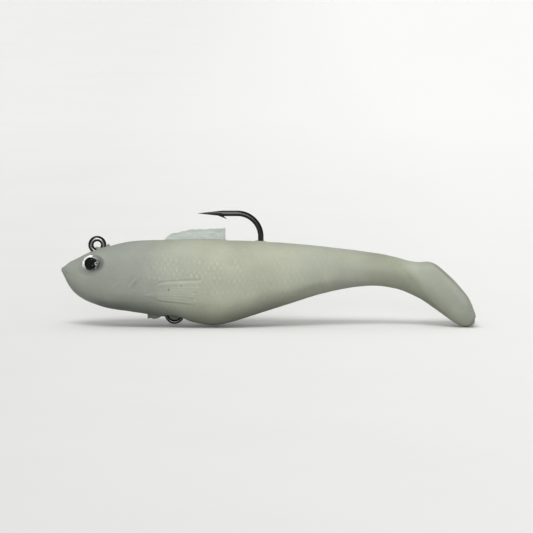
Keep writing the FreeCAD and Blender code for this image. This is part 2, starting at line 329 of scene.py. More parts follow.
def gill_folds(x, z):
    """Short raised and sunk folds of the gill cover."""
    total = np.zeros_like(x)
    for start, end, width, height in GILL_FOLDS:
        distance, share = distance_to_run(x, z, start, end)
        total += height * hump(distance, width) * np.sqrt(np.sin(math.pi * np.clip(share, 0.02, 0.98)))
    cover = np.hypot((x - 3.5) / 9.6, (z + 9.5) / 9.0)
    return total + 0.05 * (1 - smoothstep(0.86, 1.08, cover)) * smoothstep(1.0, 6.0, x)


MOUTH = ((-11.0, -7.75), (-6.6, -9.5))
MOUTH_DEPTH = 0.13


def mouth(x, z):
    """Shallow mouth line that runs back from the snout."""
    distance, share = distance_to_run(x, z, *MOUTH)
    return -MOUTH_DEPTH * hump(distance, 0.28) * (1 - share) ** 0.7


PORES = [((22.0, -12.95), 0.24), ((25.8, -11.85), 0.2)]     # (place, radius)


def pores(x, z):
    """Small bubbles that burst at the skin."""
    return sum(hump(np.hypot(x - px, z - pz), radius) for (px, pz), radius in PORES)


DORSAL_ENDS = (20.5, 39.3)  # the dorsal web's root
HOOK_EXIT_X = 50.0
TIE_ROOT_X = 1.4
PARTING_HIGH = 0.05
PARTING_HALF = 0.22


def back_details(grid, x, y, z):
    """What stands up along the back: parting line, fin root, hook's lip and the line tie's root."""
    on_back = smoothstep(-4.5, -1.5, z - back_line(grid, x))
    parting = PARTING_HIGH * hump(y, PARTING_HALF)
    first, last = DORSAL_ENDS
    fin_root = 0.35 * hump(y, 0.75) * stretch(x, first - 0.3, first + 1.1, last - 0.4, last + 0.6)
    past_hook = x - HOOK_EXIT_X
    lip = 0.5 * hump(np.hypot(past_hook, y * 0.9) - 1.25, 0.6) * (0.6 + 0.4 * np.cos(1.2 * past_hook))
    tie_root = 0.55 * hump(np.hypot((x - TIE_ROOT_X) / 1.7, y / 1.1), 0.9)
    return on_back * (parting + fin_root + lip + tie_root)


def belly_details(grid, x, y, z):
    """Parting line under the belly."""
    on_belly = 1 - smoothstep(1.0, 3.5, z - belly_line(grid, x))
    return on_belly * PARTING_HIGH * hump(y, PARTING_HALF)


CREASE = ((94.2, -5.6), (100.4, -13.0))     # down the paddle from its notch
TOE_NICK = (116.05, -22.8)


def paddle_details(x, z):
    """Crease from the notch down the paddle, and the nick at the toe."""
    distance, share = distance_to_run(x, z, *CREASE)
    crease = 0.20 * hump(distance, 1.3) * np.sin(math.pi * np.clip(share, 0.0, 1.0))
    nick_x, nick_z = TOE_NICK
    return crease - 0.28 * hump(np.hypot(x - nick_x, z - nick_z), 0.42)


def waviness(x, y, z):
    """Slow unevenness of a soft casting."""
    wave = np.sin(0.41 * x + 0.3 * z) * np.sin(0.53 * z - 0.17 * x + 1.0)
    return 0.035 * wave + 0.02 * np.sin(1.1 * x + 0.7 * y) * np.sin(0.9 * z + 0.4 * x)


def lower_flank(x):
    """The flank stays flat for longer than a plain rib's before it turns under the belly."""
    share = (1 - np.cos(ANGLES)) / 2
    return 0.42 * hump(share - 0.71, 0.13)[None, :] * stretch(x, 0.0, 18.0, 56.0, 84.0)


def eye_axis(side):
    """Unit vector out of the eye: side +1 is the right of the fish, -1 its left."""
    forward = math.radians(EYE_FORWARD)
    up = math.radians(EYE_UP)
    return np.array([
        -math.sin(forward) * math.cos(up), side * math.cos(forward) * math.cos(up), math.sin(up)])


def eye_middle(side):
    """Point at the middle of the eye, level with the skin."""
    low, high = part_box("eye_foil_right" if side > 0 else "eye_foil_left")
    return np.array((low + high) / 2) / UNIT + eye_axis(side) * FOIL_DEPTH


SOCKET_SHIFT = np.array([0.32, 0.0, -0.5])      # the socket is a little behind and below the eye
SOCKET_R = 2.78
SOCKET_HIGH = 0.79                              # its height over its length
SOCKET_DEPTH = 1.9
SOCKET_WALL = (0.1, 0.6)                        # its wall slopes between these, outside its radius
SOCKET_BEHIND = -3.5                            # skin this far down the eye's axis is the far flank's


def eye_spokes(side):
    """Two unit vectors square to the eye's axis and to each other: the first is level."""
    axis = eye_axis(side)
    level = np.cross(np.array([0.0, 0.0, 1.0]), axis)
    level /= np.linalg.norm(level)
    return level, np.cross(axis, level)


def socket_place(points, side):
    """Distance from the middle of the oval socket, by its long radius, and height along its axis."""
    level, upward = eye_spokes(side)
    offset = points - eye_middle(side) - SOCKET_SHIFT
    return np.hypot(offset @ level, offset @ upward / SOCKET_HIGH), offset @ eye_axis(side)


def with_sockets(grid):
    """The skin with the two eye sockets pushed in. The lids hide the slope."""
    result = grid.copy()
    for side in (1, -1):
        radius, height = socket_place(grid, side)
        outside = smoothstep(SOCKET_R + SOCKET_WALL[0], SOCKET_R + SOCKET_WALL[1], radius)
        push = SOCKET_DEPTH * (1 - outside) * (height > SOCKET_BEHIND)
        result -= push[..., None] * eye_axis(side)
    return result


def with_scoop(grid):
    """The skin with the hollow round the belly hanger."""
    result = grid.copy()
    x = grid[..., 0]
    z = grid[..., 2]
    roof = SCOOP_TOP - SCOOP_R + np.sqrt(np.maximum(SCOOP_R ** 2 - (x - SCOOP_X) ** 2, 0.0))
    raised = np.logaddexp(z / SCOOP_EDGE, roof / SCOOP_EDGE) * SCOOP_EDGE
    near = (np.abs(x - SCOOP_X) < SCOOP_R) & (z < SCOOP_BELOW)
    result[..., 2] = np.where(near, raised, z)
    return result


# ---------------------------------------------------------------- meshes
def mesh_object(name, points, faces, material):
    """Smooth-shaded object from points in millimetres and faces, facing outwards."""
    mesh = bpy.data.meshes.new(name)
    mesh.from_pydata((np.asarray(points) * UNIT).tolist(), [], faces)
    mesh.validate()
    mesh.shade_smooth()
    mesh.materials.append(material)
    obj = bpy.data.objects.new(name, mesh)
    bpy.context.scene.collection.objects.link(obj)
    rest = mesh.attributes.new("rest", "FLOAT_VECTOR", "POINT")
    rest.data.foreach_set("vector", np.asarray(points, np.float32).ravel())
    return obj


def set_attribute(obj, name, values):
    layer = obj.data.attributes.new(name, "FLOAT", "POINT")
    layer.data.foreach_set("value", np.asarray(values, np.float32).ravel())


def grid_faces(rows, columns, start_pole=None, end_pole=None):
    """Quads of a grid that closes round its columns, with a fan of triangles at each pole given."""
    faces = []
    for row in range(rows - 1):
        for column in range(columns):
            after = (column + 1) % columns
            first = row * columns
            faces.append((first + column, first + columns + column, first + columns + after, first + after))
    for column in range(columns):
        after = (column + 1) % columns
        if start_pole is not None:
            faces.append((start_pole, column, after))
        if end_pole is not None:
            last = (rows - 1) * columns
            faces.append((last + after, last + column, end_pole))
    return faces


CAP_ROWS = 5


def cap_rows(ring, outward, bulge):
    """Rows that round off an open end, from the ring towards its pole, and the pole itself."""
    middle = ring.mean(axis=0)
    rows = []
    for step in range(1, CAP_ROWS):
        turn = math.pi / 2 * step / CAP_ROWS
        rows.append(middle + (ring - middle) * math.cos(turn) + outward * bulge * math.sin(turn))
    return rows, middle + outward * bulge


# ---------------------------------------------------------------- materials
def new_material(name, constants):
    """New material with its node tree and main shader. The constants are set on the shader's inputs."""
    material = bpy.data.materials.new(name)
    material.use_nodes = True
    tree = material.node_tree
    shader = next(node for node in tree.nodes if node.type == "BSDF_PRINCIPLED")
    for key, value in constants.items():
        shader.inputs[key].default_value = value
    return material, tree, shader


def feed(tree, socket, value):
    """Set a socket to a number, a vector or a colour, or link another socket to it."""
    if isinstance(value, (int, float)):
        socket.default_value = value
    elif isinstance(value, tuple):
        socket.default_value = value if len(socket.default_value) == 3 else (*value, 1.0)
    else:
        tree.links.new(value, socket)


def add_node(tree, kind, inputs, output, **modes):
    """The named output of a new node, after its modes are chosen and its inputs fed."""
    node = tree.nodes.new("ShaderNode" + kind)
    for mode, choice in modes.items():
        setattr(node, mode, choice)
    for key, value in inputs.items():
        feed(tree, node.inputs[key], value)
    return node.outputs[output]


def attribute(tree, name, output="Fac"):
    return add_node(tree, "Attribute", {}, output, attribute_name=name)


def object_coordinates(tree):
    return add_node(tree, "TexCoord", {}, "Object")


def axes(tree, vector):
    """The X, Y and Z outputs of a vector."""
    node = tree.nodes.new("ShaderNodeSeparateXYZ")
    tree.links.new(vector, node.inputs["Vector"])
    return node.outputs


def scaled(tree, vector, factors):
    return add_node(tree, "Mapping", {"Vector": vector, "Scale": factors}, "Vector")


def noise(tree, vector, scale, detail=3.0, roughness=0.5):
    inputs = {"Vector": vector, "Scale": scale, "Detail": detail, "Roughness": roughness}
    return add_node(tree, "TexNoise", inputs, "Fac")


def ramp(tree, factor, stops):
    """Colour ramp from (place, colour) stops, where a colour is three numbers or one grey."""
    node = tree.nodes.new("ShaderNodeValToRGB")
    elements = node.color_ramp.elements
    while len(elements) < len(stops):
        elements.new(0.5)
    for element, (place, colour) in zip(elements, stops):
        red, green, blue = colour if isinstance(colour, tuple) else (colour,) * 3
        element.position = place
        element.color = (red, green, blue, 1.0)
    tree.links.new(factor, node.inputs["Fac"])
    return node.outputs["Color"]


def rescale(tree, value, low, high, new_low, new_high):
    """The value moved from one range to another, and held at the new range's ends."""
    inputs = {"Value": value, "From Min": low, "From Max": high, "To Min": new_low, "To Max": new_high}
    return add_node(tree, "MapRange", inputs, "Result")


def maths(tree, operation, first, second):
    return add_node(tree, "Math", {0: first, 1: second}, "Value", operation=operation)


def slanted(tree, place, direction):
    """Distance along a direction (x, z) in the middle plane."""
    parts = [maths(tree, "MULTIPLY", place[axis], share) for axis, share in zip("XZ", direction)]
    return maths(tree, "ADD", *parts)


def mixed(tree, mode, factor, first, second):
    """Colour mix. The factor is a number or a socket, and each colour is three numbers or a socket."""
    return add_node(tree, "Mix", {0: factor, 6: first, 7: second}, 2, data_type="RGBA", blend_type=mode)


def tinted(tree, tone, factor):
    """A colour multiplied by another colour or grey."""
    return mixed(tree, "MULTIPLY", 1.0, tone, factor)


def mixed_shaders(tree, factor, shader, other):
    """Send a mix of the main shader and another kind of surface to the material's output."""
    surface = add_node(tree, "MixShader", {0: factor, 1: shader.outputs["BSDF"], 2: other}, "Shader")
    output = next(node for node in tree.nodes if node.type == "OUTPUT_MATERIAL")
    feed(tree, output.inputs["Surface"], surface)


NOISE_LOW, NOISE_HIGH = 0.3, 0.7    # where most values of a noise lie


def paint_surface(tree, shader, tone, pattern, smooth, rough):
    """Colour of a surface, and a roughness that follows a noise between two values."""
    feed(tree, shader.inputs["Base Color"], tone)
    roughness = rescale(tree, pattern, NOISE_LOW, NOISE_HIGH, smooth, rough)
    feed(tree, shader.inputs["Roughness"], roughness)


def uneven_colour(tree, pattern, low, high):
    """Colour or grey that follows a noise between two values."""
    return ramp(tree, pattern, [(NOISE_LOW, low), (NOISE_HIGH, high)])


def bump(tree, shader, height, strength, distance):
    """Fine unevenness of a surface, as deep as the distance in millimetres."""
    inputs = {"Strength": strength, "Distance": distance * UNIT, "Height": height}
    feed(tree, shader.inputs["Normal"], add_node(tree, "Bump", inputs, "Normal"))


HEAD_COLOUR = (0.292, 0.312, 0.273)
SHOULDER_COLOUR = (0.350, 0.374, 0.312)
BODY_COLOUR = (0.400, 0.418, 0.327)
TAIL_COLOUR = (0.402, 0.420, 0.352)
PADDLE_COLOUR = (0.386, 0.406, 0.356)
# colour of the painted shade in sockets, pores, under the belly, below the stem and round the eye lids
PAINTED_SHADE_COLOUR = (0.055, 0.058, 0.05)
PAST_NOTCH = (0.746, 0.664)     # square to the line from the notch down to the front of the paddle
PADDLE_FRONT = (-0.66, -0.75)   # across the paddle, from its long rear edge to its front edge


def notch_painted_shade(tree, past):
    """Warm painted shade in front of the paddle's notch, on a scale from mid-stem to the paddle."""
    return ramp(tree, past, [
        (0.12, 1.0), (0.36, (0.93, 0.93, 0.88)), (0.56, (0.80, 0.80, 0.73)), (0.64, (0.80, 0.81, 0.73)),
        (0.75, (0.98, 0.98, 0.95))])


def paddle_light_and_shade(tree, place):
    """Painted light and shade on the paddle: darker along its long rear edge and paler at its front edge."""
    over = rescale(tree, slanted(tree, place, PADDLE_FRONT), -64.0, -55.0, 0.0, 1.0)
    return ramp(tree, over, [(0.0, 0.86), (0.45, 1.0), (0.75, 1.14), (0.9, 1.42), (1.0, 2.2)])


def vinyl():
    """Satin soft vinyl: greyer at the head and tail, warm green-cream on the body, faintly mottled."""
    material, tree, shader = new_material("soft_vinyl", {
        "Subsurface Radius": (1.0, 0.9, 0.6), "Subsurface Scale": 1.6 * UNIT, "IOR": 1.45,
        "Specular IOR Level": 0.35})
    rest = attribute(tree, "rest", "Vector")
    place = axes(tree, rest)
    length = rescale(tree, place["X"], -11.0, 116.0, 0.0, 1.0)
    tone = ramp(tree, length, [
        (0.0, HEAD_COLOUR), (0.18, HEAD_COLOUR), (0.25, SHOULDER_COLOUR), (0.33, BODY_COLOUR),
        (0.52, BODY_COLOUR), (0.70, TAIL_COLOUR), (1.0, PADDLE_COLOUR)])
    tone = tinted(tree, tone, uneven_colour(tree, noise(tree, rest, 0.11, 4.0, 0.55), 0.90, 1.06))
    # painted shade in front of the paddle's notch
    past = rescale(tree, slanted(tree, place, PAST_NOTCH), 46.0, 76.0, 0.0, 1.0)
    tone = tinted(tree, tone, notch_painted_shade(tree, past))
    # painted light and shade on the paddle
    on_paddle = ramp(tree, past, [(0.63, 0.0), (0.78, 1.0)])
    tone = mixed(tree, "MIX", on_paddle, tone, tinted(tree, tone, paddle_light_and_shade(tree, place)))
    speckle = noise(tree, rest, 1.9, 3.0, 0.6)
    tone = tinted(tree, tone, ramp(tree, speckle, [(0.35, 0.965), (0.65, 1.03)]))
    # painted shade in the creases and painted highlight on the edges of the fine relief
    tone = tinted(tree, tone, ramp(tree, attribute(tree, "relief"), [(0.1, 0.87), (0.5, 1.0), (0.9, 1.13)]))
    # painted shade: sockets, pores, under the belly, below the stem and round the eye lids
    tone = mixed(tree, "MIX", attribute(tree, "painted_shade"), tone, PAINTED_SHADE_COLOUR)
    paint_surface(tree, shader, tone, noise(tree, rest, 0.6, 3.0, 0.6), 0.44, 0.58)
    fine = noise(tree, rest, 6.5, 4.0, 0.6)
    pitted = noise(tree, rest, 1.6, 2.0, 0.5)
    bump(tree, shader, maths(tree, "ADD", fine, maths(tree, "MULTIPLY", pitted, 1.5)), 0.10, 0.05)
    feed(tree, shader.inputs["Subsurface Weight"], attribute(tree, "scatter"))
    return material


def web_vinyl(name, colour, clear):
    """Thin vinyl web that lets light through, with darker, cloudy thin edges."""
    material, tree, shader = new_material(name, {"Specular IOR Level": 0.35})
    rest = attribute(tree, "rest", "Vector")
    cloudy = noise(tree, scaled(tree, rest, (0.6, 1.0, 1.4)), 0.7, 4.0, 0.6)
    tone = tinted(tree, colour, uneven_colour(tree, cloudy, 0.86, 1.08))
    tone = tinted(tree, tone, ramp(tree, attribute(tree, "edge"), [(0.7, 1.0), (1.0, (0.86, 0.90, 0.90))]))
    paint_surface(tree, shader, tone, cloudy, 0.35, 0.55)
    streaks = noise(tree, scaled(tree, rest, (3.0, 1.0, 0.6)), 1.5, 3.0, 0.6)
    bump(tree, shader, streaks, 0.25, 0.12)
    mixed_shaders(tree, clear, shader, add_node(tree, "BsdfTranslucent", {"Color": tone}, "BSDF"))
    return material


def eye_painted_highlight(tree, place):
    """How much painted highlight lies on the two sides of the line-tie eye, along the crown of its wire."""
    x2, y2, z2 = [maths(tree, "MULTIPLY", part, part) for part in axes(tree, place)]
    wire2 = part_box("jig_hook")[1].y ** 2    # the hook wire's radius, squared
    on_side = rescale(tree, y2, 0.84 * wire2, 0.99 * wire2, 0.0, 1.0)
    in_eye = rescale(tree, maths(tree, "ADD", x2, z2), 10.0 * wire2, 12.0 * wire2, 1.0, 0.0)
    return maths(tree, "MULTIPLY", on_side, in_eye)


def plated_wire(name, dark, bright, wear):
    """Dark nickel plate over drawn wire, with fine rubbed patches and a painted highlight round the line-tie
    eye.
    """
    material, tree, shader = new_material(name, {"Metallic": 1.0, "Specular Tint": (0.05, 0.05, 0.05, 1.0)})
    place = object_coordinates(tree)
    rubbed = noise(tree, place, 900.0, 4.0, 0.6)
    tone = ramp(tree, rubbed, [(0.35, dark), (0.62, dark), (0.62 + wear, bright)])
    # painted highlight along the crown of the line-tie eye's wire
    tone = mixed(tree, "MIX", eye_painted_highlight(tree, place), tone, (0.17, 0.175, 0.17))
    paint_surface(tree, shader, tone, rubbed, 0.08, 0.17)
    bump(tree, shader, noise(tree, place, 2600.0, 3.0, 0.7), 0.12, 0.02)
    return material


def lead():
    """Dull grey cast lead with an oxide bloom."""
    material, tree, shader = new_material("cast_lead", {"Metallic": 0.8})
    bloom = noise(tree, object_coordinates(tree), 260.0, 5.0, 0.6)
    tone = ramp(tree, bloom, [(0.35, (0.12, 0.125, 0.14)), (0.7, (0.27, 0.275, 0.29))])
    paint_surface(tree, shader, tone, bloom, 0.45, 0.75)
    bump(tree, shader, bloom, 0.4, 0.1)
    return material


FOIL_PAINTED_LIGHT = (-1.0, 0.7)       # painted light and shade: the foil is bright towards the snout and upwards, and dull at the other side


def foil():
    """Bright silver foil, lightly crinkled, with painted light and shade across it."""
    material, tree, shader = new_material("silver_foil", {"Metallic": 1.0})
    place = object_coordinates(tree)
    crinkle = noise(tree, place, 1500.0, 3.0, 0.7)
    silver = uneven_colour(tree, crinkle, (0.62, 0.63, 0.61), (0.92, 0.92, 0.90))
    low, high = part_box("eye_foil_left")
    toward_x, toward_z = FOIL_PAINTED_LIGHT
    dullest = toward_x * high.x + toward_z * low.z
    brightest = toward_x * low.x + toward_z * high.z
    bright = rescale(tree, slanted(tree, axes(tree, place), FOIL_PAINTED_LIGHT), dullest, brightest, 0.0, 1.0)
    # painted light and shade on the foil: dark away from the snout and downwards
    foil_painted_light = ramp(tree, bright, [(0.53, (0.10, 0.105, 0.09)), (0.70, 0.64)])
    paint_surface(tree, shader, tinted(tree, silver, foil_painted_light), crinkle, 0.22, 0.4)
    bump(tree, shader, crinkle, 0.5, 0.06)
    return material


def pupil_black():
    """Gloss black print."""
    material, tree, shader = new_material("pupil_black", {"Specular IOR Level": 0.01})
    grain = noise(tree, object_coordinates(tree), 1800.0, 3.0, 0.6)
    paint_surface(tree, shader, ramp(tree, grain, [(0.3, 0.002), (0.8, 0.012)]), grain, 0.4, 0.55)
    return material


def clear_resin():
    """Clear domed resin that lets lamps reach the foil, with faint scuffs in its gloss."""
    material, tree, shader = new_material("clear_resin", {
        "Transmission Weight": 1.0, "IOR": 1.05, "Specular IOR Level": 0.1})
    scuffs = noise(tree, object_coordinates(tree), 1200.0, 4.0, 0.6)
    paint_surface(tree, shader, uneven_colour(tree, scuffs, 0.96, 1.0), scuffs, 0.0, 0.06)
    to_lamp = add_node(tree, "LightPath", {}, "Is Shadow Ray")
    mixed_shaders(tree, to_lamp, shader, add_node(tree, "BsdfTransparent", {}, "BSDF"))
    return material


def reflection_ring_grey():
    """Grey of a bubble-shaped ring in the resin: a painted reflection."""
    material, tree, shader = new_material("reflection_ring_grey", {})
    film = noise(tree, object_coordinates(tree), 2000.0, 3.0, 0.6)
    tone = uneven_colour(tree, film, (0.15, 0.16, 0.155), (0.28, 0.29, 0.28))
    paint_surface(tree, shader, tone, film, 0.15, 0.3)
    return material


# ---------------------------------------------------------------- soft skin
SCATTER = 0.30              # share of light that passes into the vinyl
FRONT_STEPS = (0.225, 0.30)     # distance between rows at the start and the end of each skin
REAR_STEPS = (0.30, 0.24)
TOE_AXIS = np.array([0.35, 0.0, -0.94])
OPEN_END = ([], None)


def moulded(grid, stations):
    """The plain skin with its relief but no sockets, and the height of its fine relief."""
    normal = normals_of(grid)
    x, y, z = np.moveaxis(grid, -1, 0)
    around = girth(grid)
    along = np.broadcast_to(stations[:, None], x.shape)
    flank = smoothstep(1.5, 3.5, np.abs(y))
    fin_height, fin_place = pectoral_fin(x, z)
    fine = scale_mask(x, z, around) * (1 - 0.85 * fin_place) * scales(along, around)
    fine += flank * (fin_height + gill_folds(x, z) - 0.25 * pores(x, z) + mouth(x, z))
    broad = back_details(grid, x, y, z) + belly_details(grid, x, y, z) + lower_flank(x)
    broad += waviness(x, y, z) * smoothstep(-10.5, -8.0, x)
    broad += paddle_details(x, z) * smoothstep(93.0, 95.0, x)
    moved = with_scoop(grid + (fine + broad)[..., None] * normal)
    return moved, fine


def sharp_part(fine):
    """Relief against its neighbourhood, from 0 in a crease to 1 on an edge."""
    local = fine.copy()
    for _ in range(4):
        local = (np.roll(local, 1, 1) + np.roll(local, -1, 1) + 2 * local) / 4
        inner = (local[:-2] + local[2:] + 2 * local[1:-1]) / 4
        local = np.concatenate([local[:1], inner, local[-1:]])
    return np.clip(0.5 + (fine - local) / 0.10, 0.0, 1.0)


def row_stations(start, end, step_start, step_end):
    """Stations whose step grows evenly from the first step to the last."""
    count = int(round(2 * (end - start) / (step_start + step_end)))
    share = np.arange(count + 1) / count
    growth = (step_end - step_start) / (step_end + step_start)
    return start + (end - start) * (share * (1 - growth) + growth * share * share)


def station_at(x):
    """Station at which the middle of a rib reaches x."""
    spacing = rib_spacing()
    middles = [(rib[0] + rib[2]) / 2 for rib in RIBS]
    return float(np.interp(x, middles, spacing))


def skin_painted_shade(points, under):
    """Painted shade from 0 to 1: in the sockets and pores, under the belly, and below the stem's narrow part.
    """
    x, y, z = points.T
    radii = [socket_place(points, side)[0] + 9 * (y * side < 0) for side in (1, -1)]
    painted_shade = 0.8 * (1 - smoothstep(SOCKET_R, SOCKET_R + 0.5, np.min(radii, axis=0)))
    painted_shade += 0.7 * pores(x, z) * (np.abs(y) > 3)
    belly = 0.42 + 0.18 * (1 - smoothstep(8.0, 30.0, x))
    painted_shade += belly * smoothstep(0.76, 0.95, under) * stretch(x, -3.0, 2.0, 52.0, 68.0)
    painted_shade += 0.17 * stretch(under, 0.30, 0.60, 0.85, 0.95) * stretch(x, 68.0, 85.0, 92.0, 98.0)
    return np.clip(painted_shade, 0, 1)


def finish_skin(name, rows, normals, fine, first_end, last_end, material):
    """One skin object from its rows and exact normals. Each end is (cap rows, pole) or OPEN_END."""
    first_caps, first_pole = first_end
    last_caps, last_pole = last_end
    grid = np.concatenate([np.array(first_caps[::-1]).reshape(-1, COLUMNS, 3), rows,
                           np.array(last_caps).reshape(-1, COLUMNS, 3)])
    pad = ((len(first_caps), len(last_caps)), (0, 0))
    all_normals = np.pad(normals, (*pad, (0, 0)), mode="edge")
    cap_normals = normals_of(grid)
    if first_caps:
        all_normals[:len(first_caps) + 1] = cap_normals[:len(first_caps) + 1]
    if last_caps:
        all_normals[-len(last_caps) - 1:] = cap_normals[-len(last_caps) - 1:]
    points = grid.reshape(-1, 3)
    count = len(points)
    middle = points.mean(axis=0)
    poles = [pole for pole in (first_pole, last_pole) if pole is not None]
    first_index = count if first_pole is not None else None
    last_index = count + len(poles) - 1 if last_pole is not None else None
    points = np.concatenate([points] + [pole[None, :] for pole in poles])
    obj = mesh_object(name, points, grid_faces(len(grid), COLUMNS, first_index, last_index), material)
    pole_normals = [(pole - middle) / np.linalg.norm(pole - middle) for pole in poles]
    vectors = np.concatenate([all_normals.reshape(-1, 3)] + [n[None, :] for n in pole_normals])
    obj.data.normals_split_custom_set_from_vertices(vectors.tolist())
    pole_value = [0.5] * len(poles)
    relief = np.pad(fine, pad, mode="edge").ravel()
    set_attribute(obj, "relief", np.concatenate([relief, pole_value]))
    set_attribute(obj, "scatter", SCATTER * smoothstep(1.0, 7.0, np.abs(points[:, 0] - SPLIT_X)))
    under = np.concatenate([np.tile((1 - np.cos(ANGLES)) / 2, len(grid)), pole_value])
    # painted shade in the sockets and pores, under the belly and below the stem
    set_attribute(obj, "painted_shade", skin_painted_shade(points, under))
    return obj


def soft_skin(material):
    """The front and rear skins, which meet half way along the stem, and the skin without sockets."""
    middle = station_at(SPLIT_X)
    end = rib_spacing()[-1]
    front = row_stations(0.0, middle, *FRONT_STEPS)
    rear = row_stations(middle, end, *REAR_STEPS)
    stations = np.concatenate([front, rear[1:]])
    plain = plain_skin(stations, ANGLES)
    whole, fine = moulded(plain, stations)
    sharp = sharp_part(fine)
    pushed = with_sockets(whole)
    normals = normals_of(pushed)
    split = len(front)
    snout_end = cap_rows(pushed[0], np.array([-1.0, 0.0, 0.0]), bulge=0.22)
    toe_end = cap_rows(pushed[-1], TOE_AXIS, bulge=0.4)
    front_obj = finish_skin("soft_skin_front", pushed[:split], normals[:split], sharp[:split],
                            snout_end, OPEN_END, material)
    rear_obj = finish_skin("soft_skin_rear", pushed[split - 1:], normals[split - 1:], sharp[split - 1:],
                           OPEN_END, toe_end, material)
    return front_obj, rear_obj, whole


def skin_tree(grid):
    """Search tree over the front of the skin without sockets, for placing pieces on it."""
    near = grid[grid[:, 0, 0] < 20.0]
    points = [Vector(p) for p in near.reshape(-1, 3)]
    return BVHTree.FromPolygons(points, grid_faces(len(near), COLUMNS))


# ---------------------------------------------------------------- eyes
RIM_STEPS = 144
RIM_THICK = 0.12
WALL_ROW = 7                # from this row on, the lid goes down the socket's wall
# (radius over the socket's, height above the skin)
RIM_PROFILE = [
    (1.60, -0.20), (1.48, -0.06), (1.38, -0.016), (1.29, 0.002), (1.20, 0.015), (1.13, 0.03), (1.07, 0.025),
    (1.03, -0.02), (1.008, -0.14), (0.995, -0.4), (0.985, -0.8), (0.975, -1.2),
]


def lid_painted_shade(radius_part, spoke):
    """Painted shade round the lid: faint in front of the eye, deepest behind and below it."""
    behind = max(spoke[0] + spoke[2], 0.0) / math.sqrt(2)
    below = (spoke[0] - spoke[2]) / math.sqrt(2)
    strength = 0.45 + 0.32 * below + 0.20 * behind
    return strength * hump(radius_part - 1.08 - 0.16 * behind, 0.18 + 0.12 * behind)


def eye_rim(side, label, tree, material):
    """Soft lid round an eye: it lies on the skin and turns down into the socket."""
    axis = eye_axis(side)
    middle = eye_middle(side) + SOCKET_SHIFT
    level, upward = eye_spokes(side)
    points = []
    halo = []
    for radius_part, height in RIM_PROFILE:
        for turn in turns(RIM_STEPS):
            wavy = 1 + 0.012 * math.sin(3 * turn + 0.7) + 0.008 * math.sin(7 * turn)
            oval = level * math.cos(turn) + upward * SOCKET_HIGH * math.sin(turn)
            above = middle + oval * SOCKET_R * radius_part * wavy + axis * 4.0
            on_skin, _, _, _ = tree.ray_cast(Vector(above), Vector(-axis))
            points.append(np.array(on_skin) + axis * height)
            halo.append(lid_painted_shade(radius_part, oval))
    rows = len(RIM_PROFILE)
    obj = mesh_object("eye_rim_" + label, points, grid_faces(rows, RIM_STEPS), material)
    if side > 0:
        obj.data.flip_normals()
    solid = obj.modifiers.new("thickness", "SOLIDIFY")
    solid.thickness = RIM_THICK * UNIT
    solid.offset = -1.0
    set_attribute(obj, "relief", np.full(len(points), 0.5))
    set_attribute(obj, "scatter", np.full(len(points), SCATTER))
    # painted shade down the socket's wall and round the lid
    heights = np.array([height for _, height in RIM_PROFILE])
    wall = 0.9 * np.clip(-heights / 0.5, 0, 1) * (np.arange(rows) >= WALL_ROW)
    set_attribute(obj, "painted_shade", np.maximum(np.repeat(wall, RIM_STEPS), halo))
    return obj


BUBBLE_SHIFT = np.array([2.1, 0.0, -0.35])      # from the middle of the eye
BUBBLE_SINK = 0.2                               # how far under the skin's level it lies
BUBBLE_R = 0.5
BUBBLE_WALL = 0.13


def painted_reflection_ring(side, label, material):
    """Small bubble-shaped grey ring in the resin at the edge of the pupil: a painted ring-shaped reflection.
    """
    axis = eye_axis(side)
    shift = BUBBLE_SHIFT - axis * (np.dot(BUBBLE_SHIFT, axis) + BUBBLE_SINK)
    middle = eye_middle(side) + shift
    level, upward = eye_spokes(side)
    ring_steps, tube_steps = 40, 10
    points = []
    for turn in turns(ring_steps):
        out = level * math.cos(turn) + upward * math.sin(turn)
        wide = BUBBLE_R * (1 + 0.08 * math.cos(2 * turn + 0.5))
        for roll in turns(tube_steps):
            reach = wide + BUBBLE_WALL * math.cos(roll)
            points.append(middle + out * reach + axis * BUBBLE_WALL * 0.8 * math.sin(roll))
    count = len(points)
    faces = [tuple(i % count for i in face) for face in grid_faces(ring_steps + 1, tube_steps)]
    return mesh_object("painted_reflection_ring_" + label, points, faces, material)


LENS_R = 2.58
LENS_RISE = 0.9             # height of the lens's cap over its straight side
LENS_FOOT = -0.57           # the lens ends just over the pupil
LENS_SHOULDER = -0.25       # its cap starts here
LENS_STEPS = 96
CAP_STEPS = 12


def eye_lens(side, label, material):
    """Clear domed lens over the pupil and the foil."""
    axis = eye_axis(side)
    level, upward = eye_spokes(side)
    ball_r = (LENS_R ** 2 + LENS_RISE ** 2) / (2 * LENS_RISE)
    profile = [(1.3, LENS_FOOT), (2.4, LENS_FOOT), (2.54, LENS_FOOT + 0.02), (LENS_R, LENS_FOOT + 0.06),
               (LENS_R, LENS_SHOULDER - 0.03)]
    for step in range(CAP_STEPS):
        turn = math.asin(LENS_R / ball_r) * (1 - step / CAP_STEPS)
        height = LENS_SHOULDER + LENS_RISE - ball_r * (1 - math.cos(turn))
        profile.append((ball_r * math.sin(turn), height))
    angles = turns(LENS_STEPS)
    ring = level * np.cos(angles)[:, None] + upward * np.sin(angles)[:, None]
    middle = eye_middle(side)
    rows = [middle + ring * radius + axis * height for radius, height in profile]
    poles = np.array([middle + axis * LENS_FOOT, middle + axis * (LENS_SHOULDER + LENS_RISE)])
    count = LENS_STEPS * len(rows)
    faces = grid_faces(len(rows), LENS_STEPS, count, count + 1)
    lens = mesh_object("eye_lens_" + label, np.concatenate([*rows, poles]), faces, material)
    if side > 0:
        lens.data.flip_normals()
    return lens


# ---------------------------------------------------------------- thin webs
WEB_LEVELS = 12             # points from a web's root to its rim


